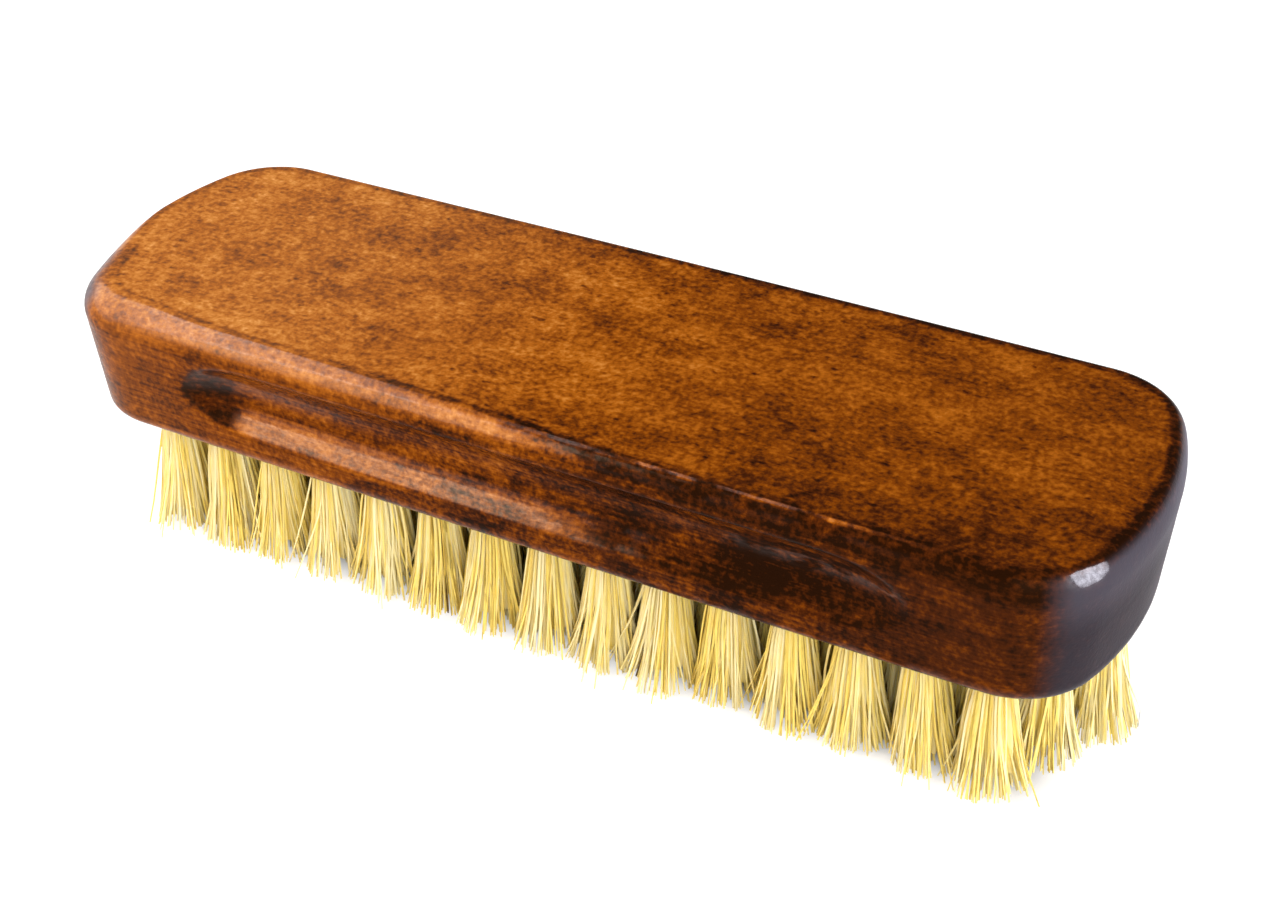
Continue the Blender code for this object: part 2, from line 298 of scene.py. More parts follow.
def makeWood(name, grain):
    material, tree, shader = newMaterial(name)
    place = addNode(tree, "ShaderNodeTexCoord").outputs["Object"]
    axes = addNode(tree, "ShaderNodeSeparateXYZ", None, Vector=place).outputs
    painted = {label: addNode(tree, "ShaderNodeAttribute", {"attribute_name": label}).outputs["Fac"]
               for label in paintedMasks}
    ramps = {label: addRemap(tree, axes[axis], *ramp) for label, (axis, *ramp) in woodRamps.items()}
    patterns = {label: addRemap(tree, addNoise(tree, place, *noise), *stretch)
                for label, (noise, stretch) in woodPatterns.items()}
    offWall = addMath(tree, "SUBTRACT", 1.0, painted["wallStainAndShade"])

    # The tone is lowered towards the right and the far side, on the walls, on the roll, in the ends of the
    # grooves and on the rims. This is partly stain and partly painted shade: on the walls, on the roll below
    # the rim, in the groove ends and where the light falls off to the right. On the left the groove's end is
    # deep all over, and on the right it is mottled.
    patches = patterns["patches"]
    wallPatches = addProduct(tree, patches, ramps["wallPatches"], ramps["wallPatchesRight"])
    wall = addSum(tree, ramps["wall"], wallPatches, ramps["wallLeft"])
    mottle = addMath(tree, "MAXIMUM", patches, ramps["grooveLeft"])
    masks = {
        "wall": (painted["wallStainAndShade"], wall),
        "roll": (painted["rollStainAndShadow"], ramps["rollRight"], patches),
        "groove": (painted["grooveStainAndShade"], mottle),
        "rim": (painted["rimStain"], patterns["brokenRim"], ramps["rimRight"]),
        "nearRight": (ramps["nearRight"], ramps["nearSide"], offWall),
        "far": (ramps["farSide"],),
    }
    level = ramps["tone"]
    for label, factors in masks.items():
        level = addMath(tree, "SUBTRACT", level, addProduct(tree, *factors, woodFinish["depths"][label]))
    level = addMath(tree, "MAXIMUM", level, woodFinish["deepest"])

    # The pores speckle the painted highlight and the lacquer, and on the right both break off in patches
    whole = addMath(tree, "MAXIMUM", patterns["worn"], ramps["wholeLeft"])
    whole = addMath(tree, "MAXIMUM", whole, ramps["wholeRight"])
    covered = addProduct(tree, patterns["pores"], whole)
    # The painted highlight: the tone is lifted on the rolled rim, in the groove, along the top edge, on the
    # lip and on the lower rim
    paintedHighlight = addProduct(tree, painted["paintedHighlight"], covered, woodFinish["paintedHighlightLift"])
    # The cutter left long streaks on the walls
    streak = addMath(tree, "SUBTRACT", addNoise(tree, place, *woodFinish["streaks"]), 0.5)
    streaks = addProduct(tree, streak, ramps["streaksRight"], painted["wallStainAndShade"],
                         woodFinish["streakDepth"])
    level = addSum(tree, level, paintedHighlight, streaks)

    # The walls are calmer than the top, but for their middle
    middle = addProduct(tree, ramps["middleLeft"], ramps["middleRight"])
    calm = addMath(tree, "MULTIPLY_ADD", middle, woodFinish["addedMiddleContrast"],
                   woodFinish["wallContrast"])
    contrast = addProduct(tree, ramps["contrast"], addMath(tree, "MAXIMUM", offWall, calm))
    figure = addNode(tree, "ShaderNodeGroup", {"node_tree": grain}, Vector=place, Level=level,
                     Contrast=contrast)
    figureTone = figure.outputs["Tone"]
    speckDepth = addMath(tree, "MULTIPLY_ADD", offWall, woodFinish["topSpecks"] - woodFinish["wallSpecks"],
                         woodFinish["wallSpecks"])
    specks = addProduct(tree, figure.outputs["Specks"], speckDepth)
    ramp = addNode(tree, "ShaderNodeValToRGB", None, Fac=addMath(tree, "SUBTRACT", figureTone, specks))
    stops = ramp.color_ramp.elements
    for position, colour in woodFinish["stains"][1:-1]:
        stops.new(position).color = colour
    stops[0].color, stops[-1].color = woodFinish["stains"][0][1], woodFinish["stains"][-1][1]

    # A painted sheen pales and greys the top towards the left, off the walls but for their left end and off
    # the groove ends, and a painted sheen pales the end grain towards the far side and the top
    noPaintedSheen = addMath(tree, "MAXIMUM", addProduct(tree, painted["wallStainAndShade"], ramps["noPaintedSheenWall"]),
                      painted["grooveStainAndShade"])
    paintedSheenShare = addProduct(tree, ramps["paintedSheenLeft"], addMath(tree, "SUBTRACT", 1.0, noPaintedSheen))
    stainAndPaintedSheen = addBlend(tree, paintedSheenShare, ramp.outputs[0], woodFinish["paintedSheenColour"])
    # the end grain's paler share: its grain's tone plus a painted sheen towards the far side and the top
    pale = addRemap(tree, figureTone, *woodFinish["endTone"])
    pale = addSum(tree, pale, ramps["endSheenFarSide"], ramps["endTop"])
    endGrainAndSheen = addBlend(tree, pale, *woodFinish["endGrainAndSheen"])
    tree.links.new(addBlend(tree, painted["endStain"], stainAndPaintedSheen, endGrainAndSheen), shader.inputs["Base Color"])

    gloss = addRemap(tree, figureTone, *woodFinish["roughness"])
    for label, added in woodFinish["addedRoughness"].items():
        gloss = addMath(tree, "MULTIPLY_ADD", painted[label], added, gloss)
    tree.links.new(gloss, shader.inputs["Roughness"])
    lacquer = addMath(tree, "MULTIPLY", painted["lacquer"], covered, clamp=True)
    tree.links.new(lacquer, shader.inputs["Coat Weight"])
    bump = addNode(tree, "ShaderNodeBump", None, Strength=woodFinish["bumpStrength"],
                   Distance=woodFinish["bumpDistance"], Height=figure.outputs["Relief"])
    tree.links.new(bump.outputs[0], shader.inputs["Normal"])
    setSockets(shader, woodFinish["shader"])
    return material


lacqueredWood = makeWood("lacqueredStainedBeech", makeGrainGroup())
print("wood finish made")


# Block

block = {
    "cornerRadius": 13 * mm,
    "endBow": 6.8 * mm,
    "sideBow": 0.4 * mm,
    "sideDraft": 1 * mm,
    "rollDepth": 4.1 * mm,
    "bottomEase": 1.5 * mm,
    # the roll is wider towards the left and widest at the left corner, on the near side only
    "rollWidth": 1.9 * mm,
    "leftRollWidth": 3.4 * mm,
    "cornerRollWidth": 5.0 * mm,
    "leftRollReach": (-30 * mm, 50 * mm),
    "cornerRollReach": (50 * mm, 66 * mm),
    "nearRollReach": (-4 * mm, 14 * mm),
    "grooveLength": 110 * mm,
    "grooveRadius": 7.5 * mm,
    "grooveDepth": 2.6 * mm,
    "grooveHeight": 10 * mm,
    "grooveRunout": 12 * mm,
    "lipSoftness": 0.35 * mm,
    "sideShares": (0.8, 0.9),
    "wornCorner": (74.85 * mm, -19.2 * mm, 39.25 * mm),
    "wornFacing": (0.68, -0.50, 0.53),
    "wornReach": (9 * mm, 6 * mm),
    "wornSoftness": 0.18 * mm,
    "wornRipple": 0.06 * mm,
    "wornWaves": (2.1 / mm, 2.9 / mm, 1.7 / mm),
    "unevenness": 0.02 * mm,
    "sandingWaves": (0.9 * mm, 1.4 * mm, 0.7 * mm, 2.6 * mm),
    "sandingBend": 2.3,
    "holeDepth": 11 * mm,
    "holeRadius": 2.75 * mm,
    "holeSides": 24,
    "drillOverrun": 2 * mm,
    "weldDistance": 0.001 * mm,
    "sharpAngle": math.radians(35),
    "endSteps": 26,
    "cornerSteps": 34,
    "sideSteps": 72,
    "easeSteps": 8,
    "wallSteps": 44,
    "rollSteps": 16,
    "capShares": (0.02, 0.045, 0.08, 0.2, 0.4, 0.6, 0.8, 1.0),
}
# Over each step, between two values of a measure of the block's points, a mask goes from the first
# number to the second
paintSteps = {
    "rimRight": ("along", -5 * mm, 25 * mm, 0, 1),
    "rimRightEnd": ("along", 77 * mm, 73 * mm, 0, 1),
    "rimNear": ("near", 0, 10 * mm, 0, 1),
    "rimPlace": ("along", 0, 20 * mm, -0.3 * mm, 0.2 * mm),
    "rimWidth": ("along", 0, 20 * mm, 0.45 * mm, 0.85 * mm),
    "wall": ("down", 0.5 * mm, 4 * mm, 0, 1),
    "endFacing": ("facingEnd", 0.42, 0.75, 0, 0.92),
    "endTop": ("down", 0, 1.4 * mm, 0, 1),
    # the ends of the groove are darkened, more low down: partly stain and partly painted shade
    "carvedStainAndShade": ("carved", 0.02 * mm, 0.25 * mm, 0, 1),
    "grooveLeft": ("along", -45 * mm, -50 * mm, 0, 1),
    "grooveRight": ("along", 24 * mm, 38 * mm, 0, 1.3),
    "grooveLow": ("overGroove", 2.5 * mm, -1.5 * mm, 0.5, 1),
    "rollTop": ("down", 0.005 * mm, 0.1 * mm, 0, 1),
    "rollFoot": ("down", 2.5 * mm, 1.3 * mm, 0, 1),
    "rollRight": ("along", -5 * mm, 25 * mm, 1, 0.2),
    "rollRightEnd": ("along", 48 * mm, 60 * mm, 0, -0.2),
    "rollLeft": ("along", -72 * mm, -52 * mm, 0.40, 1),
    "rollMiddle": ("along", -48 * mm, -35 * mm, 1, 0.8),
    # where along the roll the painted highlight lies
    "paintedHighlightMiddle": ("along", -24 * mm, -8 * mm, 0, 0.5),
    "paintedHighlightLeft": ("along", -55 * mm, -68 * mm, 0, -0.4),
    "paintedHighlightRight": ("along", 30 * mm, 10 * mm, 0, 1),
    "edgeTop": ("down", 0.01 * mm, 0.05 * mm, 0, 1),
    "edgeFoot": ("down", 0.45 * mm, 0.25 * mm, 0, 1),
    "edgeLeft": ("along", 0, 25 * mm, 0, 1),
    "edgeRight": ("along", 62 * mm, 50 * mm, 0, 1),
    "carved": ("carved", 0.02 * mm, 0.4 * mm, 0, 1),
    "grooveFoot": ("overGroove", -1.4 * mm, -3 * mm, 0, 1),
    "lacqueredLeft": ("along", -48 * mm, -44 * mm, 0, 1),
    "lacqueredRight": ("along", 25 * mm, 5 * mm, 0, 1),
    "lipHeight": ("overGroove", -0.5 * mm, 1.5 * mm, 0, 1),
    "lipReach": ("offMiddle", 18 * mm, 40 * mm, 0, 1),
    # the painted highlight on the groove's lip grows towards the right
    "lipPaintedHighlight": ("along", 15 * mm, 35 * mm, 0, 0.6),
    "lowRimTop": ("up", 2.2 * mm, 0.8 * mm, 0, 1),
    "lowRimFoot": ("up", 0, 0.3 * mm, 0, 1),
    "plain": ("down", 0, 1 * mm, 1, 0),
    "worn": ("worn", 0.01 * mm, 0.20 * mm, 0, 1),
}
# The band of stain and painted shadow on the roll, and how the rim's stain moves and widens on the near right
paintBands = {
    "rollPlace": 2.2 * mm,
    "rollWidth": 1.5 * mm,
    "rimMove": 1.1 * mm,
    "rimWiden": 0.4 * mm,
}
blockLow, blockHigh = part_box("wooden_block")
halfLength = blockHigh.x
halfWidth = blockHigh.y
underside = blockLow.z
blockTop = blockHigh.z


def blockOutline():
    # A quarter is three arcs that meet smoothly: half an end, a corner and half a side. The end and
    # side circles have radius (half chord^2 + bow^2) / (2 bow), and the corner's centre lies
    # cornerRadius inside both.
    corner = block["cornerRadius"]
    endRadius = (halfWidth**2 + block["endBow"]**2) / (2 * block["endBow"])
    sideRadius = (halfLength**2 + block["sideBow"]**2) / (2 * block["sideBow"])
    endCentre = np.array([halfLength - endRadius, 0.0])
    sideCentre = np.array([0.0, halfWidth - sideRadius])
    apart = sideCentre - endCentre
    distance = np.hypot(*apart)
    along = ((endRadius - corner)**2 - (sideRadius - corner)**2 + distance**2) / (2 * distance)
    across = math.sqrt((endRadius - corner)**2 - along**2)
    square = np.array([-apart[1], apart[0]]) / distance
    meetings = [endCentre + apart / distance * along + sign * across * square for sign in (-1, 1)]
    cornerCentre = max(meetings, key=lambda point: point[0] + point[1])
    endAngle = math.atan2(*(cornerCentre - endCentre)[::-1])
    sideAngle = math.atan2(*(cornerCentre - sideCentre)[::-1])
    arcs = (
        (endCentre, endRadius, 0, endAngle, block["endSteps"]),
        (cornerCentre, corner, endAngle, sideAngle, block["cornerSteps"]),
        (sideCentre, sideRadius, sideAngle, math.pi / 2, block["sideSteps"]),
    )
    angles, centres, radii = (np.concatenate(parts) for parts in zip(*(
        (np.linspace(start, stop, steps, endpoint=False), np.tile(centre, (steps, 1)), np.full(steps, radius))
        for centre, radius, start, stop, steps in arcs)))
    outward = np.stack([np.cos(angles), np.sin(angles)], -1)
    points = centres + outward * radii[:, None]
    sidePoint, sideOut = np.array([[0.0, halfWidth]]), np.array([[0.0, 1.0]])
    back = np.concatenate([sidePoint, points[:0:-1]]), np.concatenate([sideOut, outward[:0:-1]])
    turns = (((points, outward), (1, 1)), (back, (-1, 1)), ((points, outward), (-1, -1)), (back, (1, -1)))
    return tuple(np.concatenate([pair[i] * np.array(flip) for pair, flip in turns]) for i in (0, 1))


def blockProfile():
    # (inset from the outline, height, share of the roll) up the wall: a quarter circle, a leaning line
    # and a quarter ellipse, whose width follows the block's length
    ease, draft = block["bottomEase"], block["sideDraft"]
    rollStart = blockTop - block["rollDepth"]
    low = np.linspace(0, math.pi / 2, block["easeSteps"], endpoint=False)
    wall = np.linspace(0, 1, block["wallSteps"], endpoint=False)
    roll = np.linspace(0, math.pi / 2, block["rollSteps"] + 1)
    inset = np.concatenate([draft + ease * (1 - np.sin(low)), draft * (1 - wall), 0 * roll])
    rolled = np.concatenate([0 * low, 0 * wall, 1 - np.cos(roll)])
    height = np.concatenate([
        underside + ease * (1 - np.cos(low)),
        underside + ease + (rollStart - underside - ease) * wall,
        rollStart + block["rollDepth"] * np.sin(roll),
    ])
    return inset, height, rolled


def rollWidths(outline):
    # The near rim is rolled wider towards the left, and widest round its left corner
    left, near = -outline[:, 0], -outline[:, 1]
    added = smoothStep(*block["leftRollReach"], left) * (block["leftRollWidth"] - block["rollWidth"])
    corner = block["cornerRollWidth"] - block["leftRollWidth"]
    added = added + smoothStep(*block["cornerRollReach"], left) * corner
    return block["rollWidth"] + added * smoothStep(*block["nearRollReach"], near)


def wearCorner(points):
    # One corner is worn flat: a point that stands h outside the plane moves back along the plane's
    # normal by the smooth maximum (h + sqrt(h^2 + softness^2)) / 2. Two crossed sines ripple the plane.
    facing = np.array(block["wornFacing"])
    facing = facing / np.linalg.norm(facing)
    fromCorner = points - np.array(block["wornCorner"])
    alongX, alongY, alongZ = block["wornWaves"]
    wave = np.sin(points[..., 1] * alongY) * np.sin(points[..., 0] * alongX + points[..., 2] * alongZ)
    outside = fromCorner @ facing + block["wornRipple"] * wave
    near = smoothStep(*block["wornReach"], np.linalg.norm(fromCorner, axis=-1))
    back = (outside + np.sqrt(outside**2 + block["wornSoftness"]**2)) / 2 * near
    return points - back[..., None] * facing, back


def carveGrooves(points):
    # A rod of radius r lies outside each side, with its axis r less the groove's depth from the wall.
    # It reaches y = axis - sqrt(r^2 - dz^2), and the wall moves in to it where it reaches deeper, by the
    # smooth maximum (d + sqrt(d^2 + softness^2)) / 2. Past the straight part r shrinks like an ellipse.
    radius = block["grooveRadius"]
    reach = radius - block["grooveDepth"]
    thinning = block["grooveRunout"] * radius / math.sqrt(radius**2 - reach**2)
    straight = block["grooveLength"] / 2 - block["grooveRunout"]
    past = np.clip((np.abs(points[..., 0]) - straight) / thinning, 0, 1)
    rod = radius * np.sqrt(1 - past**2)
    wallHeight = blockTop - underside - block["rollDepth"] - block["bottomEase"]
    wallInset = block["sideDraft"] * (1 - (block["grooveHeight"] - block["bottomEase"]) / wallHeight)
    axis = halfWidth - wallInset + reach
    offAxis = points[..., 2] - underside - block["grooveHeight"]
    surface = axis - np.sqrt(np.clip(rod**2 - offAxis**2, 0, None))
    over = np.abs(points[..., 1]) - surface
    cut = (over + np.sqrt(over**2 + block["lipSoftness"]**2)) / 2
    still = (-reach + np.sqrt(reach**2 + block["lipSoftness"]**2)) / 2
    sideStart, sideStop = block["sideShares"]
    side = smoothStep(sideStart * halfWidth, sideStop * halfWidth, np.abs(points[..., 1]))
    depth = np.clip(cut - still, 0, None) * side
    points[..., 1] -= np.sign(points[..., 1]) * depth
    return points, depth


def sandWall(points, outward):
    # Sanding leaves the wall a little uneven: two crossed waves, one of which bends with the other
    along, up = points[..., 0] + points[..., 1], points[..., 2]
    alongWave, bendWave, upWave, leanWave = block["sandingWaves"]
    bent = np.sin(along / alongWave + block["sandingBend"] * np.sin(up / bendWave))
    wave = bent * np.sin(up / upWave + along / leanWave)
    points[..., :2] -= outward * (block["unevenness"] * (0.5 + 0.5 * wave))[..., None]
    return points


def capRings(rim, outline, height):
    # A flat cap: each ring draws the rim in by its share towards the block's middle line. Both sides
    # take their places on that line from the outline, which is the same on both, so they meet there.
    spine = np.zeros_like(rim)
    limit = halfLength - halfWidth
    spine[:, 0] = np.clip(outline[:, 0], -limit, limit)
    spine[:, 2] = height
    shares = np.array(block["capShares"])[:, None, None]
    return rim + (spine - rim) * shares


def paintBlock(piece, rings, wall, outward, carved, worn):
    # carved and worn are known on the wall, and nothing of either lies on the caps
    caps = len(block["capShares"])
    onWall = ((caps, caps), (0, 0))
    along, down, up = rings[..., 0], blockTop - rings[..., 2], rings[..., 2] - underside
    measures = {
        "along": along,
        "offMiddle": np.abs(along),
        "near": -rings[..., 1],
        "down": down,
        "up": up,
        "overGroove": up - block["grooveHeight"],
        "facingEnd": np.abs(np.tile(outward[:, 0], (len(rings), 1))),
        "carved": np.pad(carved, onWall),
        "worn": np.pad(worn, onWall),
    }
    step = {label: smoothStep(low, high, measures[measure], start, stop)
            for label, (measure, low, high, start, stop) in paintSteps.items()}

    # Stain gathers on the rounded rims, in bands exp(-(distance / width)^2), and soaks into the end
    # grain. The distance past the rim is down the roll, and on the top cap inwards. The band down the roll
    # is partly stain and partly painted shadow below the rim.
    inwards = np.linalg.norm(rings[-caps:] - wall[-1], axis=-1)
    past = np.concatenate([down[:-caps], -inwards])
    toRight = step["rimRight"] * step["rimRightEnd"] * step["rimNear"]
    rimPlace = step["rimPlace"] + paintBands["rimMove"] * toRight
    rimWidth = step["rimWidth"] + paintBands["rimWiden"] * toRight
    paint(piece, "rimStain", np.exp(-((past - rimPlace) / rimWidth)**2))
    paint(piece, "rollStainAndShadow", np.exp(-((down - paintBands["rollPlace"]) / paintBands["rollWidth"])**2))
    # The walls are darker than the top: partly stain and partly painted shade
    paint(piece, "wallStainAndShade", step["wall"])
    paint(piece, "endStain", step["endFacing"] * step["endTop"])
    # The groove's ends are darker, more in their lower half: partly stain pooled there and partly painted
    # shade
    grooveEnds = step["grooveLeft"] + step["grooveRight"]
    paint(piece, "grooveStainAndShade", step["carvedStainAndShade"] * grooveEnds * step["grooveLow"])

    # The lacquer is thick on the rolled rim, in the groove, on the lower rim and on the worn corner,
    # and most of these also get a painted highlight: a paler base colour under the gloss
    roll = step["rollTop"] * step["rollFoot"] * (step["rollRight"] + step["rollRightEnd"])
    masks = {
        "roll": roll * step["rollLeft"] * step["rollMiddle"],
        "edge": step["edgeTop"] * step["edgeFoot"] * step["edgeLeft"] * step["edgeRight"],
        "groove": step["carved"] * step["grooveFoot"] * step["lacqueredLeft"] * step["lacqueredRight"],
        "lip": step["carved"] * step["lipHeight"] * step["lipReach"],
        "lowRim": step["lowRimTop"] * step["lowRimFoot"],
        "worn": step["worn"],
    }
    paintedHighlight = roll * (step["paintedHighlightMiddle"] + step["paintedHighlightLeft"]) * step["paintedHighlightRight"]
    paintedHighlight = paintedHighlight + masks["lip"] * step["lipPaintedHighlight"]
    for label, share in woodFinish["paintedHighlightShares"].items():
        paintedHighlight = paintedHighlight + share * masks[label]
    paint(piece, "paintedHighlight", paintedHighlight)
    lacquer = woodFinish["plainCoat"] * step["plain"]
    for label, coat in woodFinish["coats"].items():
        lacquer = np.maximum(lacquer, coat * masks[label])
    paint(piece, "lacquer", lacquer)


def drillHoles(piece, places):
    # The drilled holes are cut with one cutter of as many rods
    turn = np.arange(block["holeSides"]) * 2 * math.pi / block["holeSides"]
    circle = np.stack([np.cos(turn), np.sin(turn)], -1) * block["holeRadius"]
    levels = np.array([underside - block["drillOverrun"], underside + block["holeDepth"]])
    rods = np.empty((len(places), 2, len(turn), 3))
    rods[..., :2] = places[:, None, None, :] + circle
    rods[..., 2] = levels[None, :, None]
    first = np.arange(len(places))[:, None] * 2 * len(turn)
    sides = (first[:, :, None] + wrapQuads(2, len(turn))[None]).reshape(-1, 4)
    ends = first + np.arange(len(turn))
    faces = [sides, ends[:, ::-1], ends + len(turn)]
    cutter = makePiece("holeCutter", rods.reshape(-1, 3), faces, lacqueredWood)
    weld = piece.modifiers.new("weld", "WELD")
    weld.merge_threshold = block["weldDistance"]
    cut = piece.modifiers.new("holes", "BOOLEAN")
    cut.operation, cut.solver, cut.object = "DIFFERENCE", "EXACT", cutter
    applied = bpy.data.meshes.new_from_object(piece.evaluated_get(bpy.context.evaluated_depsgraph_get()))
    piece.modifiers.clear()
    piece.data = applied
    piece.data.set_sharp_from_angle(angle=block["sharpAngle"])
    bpy.data.objects.remove(cutter)


def makeBlock(places):
    outline, outward = blockOutline()
    inset, height, rolled = blockProfile()
    wall = np.empty((len(inset), len(outline), 3))
    rollInset = rolled[:, None, None] * rollWidths(outline)[:, None]
    wall[..., :2] = outline - outward * (inset[:, None, None] + rollInset)
    wall[..., 2] = height[:, None]
    wall, carved = carveGrooves(wall)
    wall, worn = wearCorner(wall)
    wall = sandWall(wall, outward)
    lowCap, highCap = capRings(wall[0], outline, underside)[::-1], capRings(wall[-1], outline, blockTop)
    rings = np.concatenate([lowCap, wall, highCap])
    faces = wrapQuads(len(rings), len(outline))
    piece = makePiece("lacqueredBlock", rings.reshape(-1, 3), [faces], lacqueredWood)
    paintBlock(piece, rings, wall, outward, carved, worn)
    drillHoles(piece, places)
    return piece


# Bristles

bristle = {
    "rowCounts": (15, 16, 17, 16, 15),
    "endMargin": 6.4 * mm,
    "sideMargin": 8.8 * mm,
    "strands": 240,
    "sections": 8,
    "inHole": 3 * mm,
    "rootRadius": 2.15 * mm,
    "rootShare": 0.97,
    "tipRadius": 5.7 * mm,
    "spreadShares": (0.4, 0.6),
    "crowding": 0.36,
    "thickness": 0.205 * mm,
    "thicknessRange": (0.8, 1.25),
    "tipThickness": 0.12 * mm,
    # strands gather in locks, placed round each tuft by a turn of 2.4 rad
    "locks": 11,
    "lockTurn": 2.4,
    "lockTurnChance": 0.25,
    "lockChance": 0.09,
    "clump": 0.22,
    "clumpRange": (0.5, 1.3),
    # how far a tuft leans at its tip and where along the block it does, and how its strands bend
    "leanChance": 0.35 * mm,
    "leanPower": 1.6,
    "endLean": 1.1 * mm,
    "endLeanShares": (0.45, 0.9),
    "cornerLean": 0.3 * mm,
    "cornerLeanReach": (64 * mm, 69 * mm),
    "sideLean": 0.9 * mm,
    "sideLeanRight": -0.36 * mm,
    "sideLeanReach": (5 * mm, 45 * mm),
    "bendChance": 0.28 * mm,
    "bendTurn": 1.3 * math.pi,
    "strayShare": 0.07,
    "strayReach": 3.2 * mm,
    "strayPower": 1.3,
    # how much shorter a strand and a lock are, by chance
    "strandRaggedness": 0.315 * mm,
    "lockRaggedness": 0.6 * mm,
    "darkShare": 0.012,
    "darkWithin": 0.8,
    "darkTone": 2.0,
    "lockToneShare": 0.5,
}
# The inner heart of a tuft: girths at runs down from the wood, and flutes that stand out and in
heart = {
    "share": 0.82,
    "runs": (0.0, 0.0, 0.2, 0.4, 0.6, 0.86, 0.94),
    "girths": (1, 1, 1, 1, 0.95, 0.7, 0.02),
    "flutes": 26,
    "fluteDepth": 0.14,
    "fluteChance": 0.03,
    "ridgeTone": 0.25,
    "valleyTone": 0.7,
}
bristleFinish = {
    "pale": (0.97, 0.88, 0.53, 1),
    "gold": (0.93, 0.74, 0.19, 1),
    "ochre": (0.46, 0.32, 0.07, 1),
    "brown": (0.13, 0.07, 0.02, 1),
    # the tones over which each colour takes over, and how far down from the wood the ochre of the painted
    # shade goes
    "goldTones": (0.1, 0.75),
    "ochreTones": (0.78, 1.05),
    "brownTones": (1.4, 1.6),
    "paintedRootShade": (0.0, 0.35, 0.5, 0.0),
    "streaks": ((0.6 * mm, 0.6 * mm, 4 * mm), 2.0, 0.6),
    "streakDepth": 0.7,
    "shader": {"Roughness": 0.5, "IOR": 1.45, "Specular IOR Level": 0.3,
               "Specular Tint": (1.0, 0.85, 0.45, 1)},
}


def makeBristle():
    material, tree, shader = newMaterial("naturalBristle")
    tone = addNode(tree, "ShaderNodeAttribute", {"attribute_name": "strandTone"}).outputs["Fac"]
    run = addNode(tree, "ShaderNodeAttribute", {"attribute_name": "strandRun"}).outputs["Fac"]
    place = addNode(tree, "ShaderNodeTexCoord").outputs["Object"]
    streak = addMath(tree, "SUBTRACT", addNoise(tree, place, *bristleFinish["streaks"]), 0.5)
    shade = addMath(tree, "MULTIPLY_ADD", streak, bristleFinish["streakDepth"], tone, clamp=True)
    colour = bristleFinish["pale"]
    # the last blend paints the strands ochre near the wood, as painted shade under it
    for value, stretch, deeper in ((shade, "goldTones", "gold"), (shade, "ochreTones", "ochre"),
                                 (tone, "brownTones", "brown"), (run, "paintedRootShade", "ochre")):
        share = addRemap(tree, value, *bristleFinish[stretch])
        colour = addBlend(tree, share, colour, bristleFinish[deeper])
    tree.links.new(colour, shader.inputs["Base Color"])
    setSockets(shader, bristleFinish["shader"])
    return material


def tuftPlaces():
    # A staggered grid: five rows, each centred on the block, the odd ones half a pitch aside
    counts = bristle["rowCounts"]
    pitch = 2 * (halfLength - bristle["endMargin"]) / (max(counts) - 1)
    rowPitch = 2 * (halfWidth - bristle["sideMargin"]) / (len(counts) - 1)
    rows = []
    for order, count in enumerate(counts):
        x = (np.arange(count) - (count - 1) / 2) * pitch
        rows.append(np.stack([x, np.full(count, (order - len(counts) // 2) * rowPitch)], -1))
    return rows, pitch


def tuftRadius(run):
    # A tuft opens from its root to its tip by a t + b t^2, with a + b = 1
    straight, curved = bristle["spreadShares"]
    spread = straight * run + curved * run**2
    return bristle["rootRadius"] + (bristle["tipRadius"] - bristle["rootRadius"]) * spread


def leanTufts(places, draw):
    # A whole tuft leans a little by chance, and towards the right end also out over that end. Off the
    # middle row it leans to its own side on the left and slightly back on the right.
    x, side = places[:, 0], places[:, 1] / halfWidth
    lean = draw.normal(0, bristle["leanChance"], (len(places), 2))
    endStart, endStop = bristle["endLeanShares"]
    lean[:, 0] += smoothStep(endStart * halfLength, endStop * halfLength, x, 0, bristle["endLean"])
    lean[:, 1] += smoothStep(*bristle["cornerLeanReach"], x, 0, bristle["cornerLean"]) * np.sign(side)
    sideStart, sideStop = bristle["sideLeanReach"]
    lean[:, 1] += side * smoothStep(sideStart, sideStop, x, bristle["sideLean"], bristle["sideLeanRight"])
    return lean


def tubesRound(points, run, draw):
    # Three corners round each point of the strands, thinner towards the tip
    tufts, strands, sections = points.shape[:3]
    thickness = bristle["thickness"] * draw.uniform(*bristle["thicknessRange"], (tufts, strands, 1))
    taper = np.concatenate([[1.0], 1 + (bristle["tipThickness"] / bristle["thickness"] - 1) * run])
    turn = draw.random((tufts, strands, 1, 1)) * 2 * math.pi + np.arange(3) * 2 * math.pi / 3
    ring = np.zeros((tufts, strands, sections, 3, 3))
    ring[..., 0] = np.cos(turn)
    ring[..., 1] = np.sin(turn)
    ring *= (thickness * taper)[..., None, None]
    tubes = points[..., None, :] + ring
    tubes[..., 0] = np.clip(tubes[..., 0], cadBounds[0].x, cadBounds[1].x)
    tubes[..., 1] = np.clip(tubes[..., 1], cadBounds[0].y, cadBounds[1].y)
    return tubes


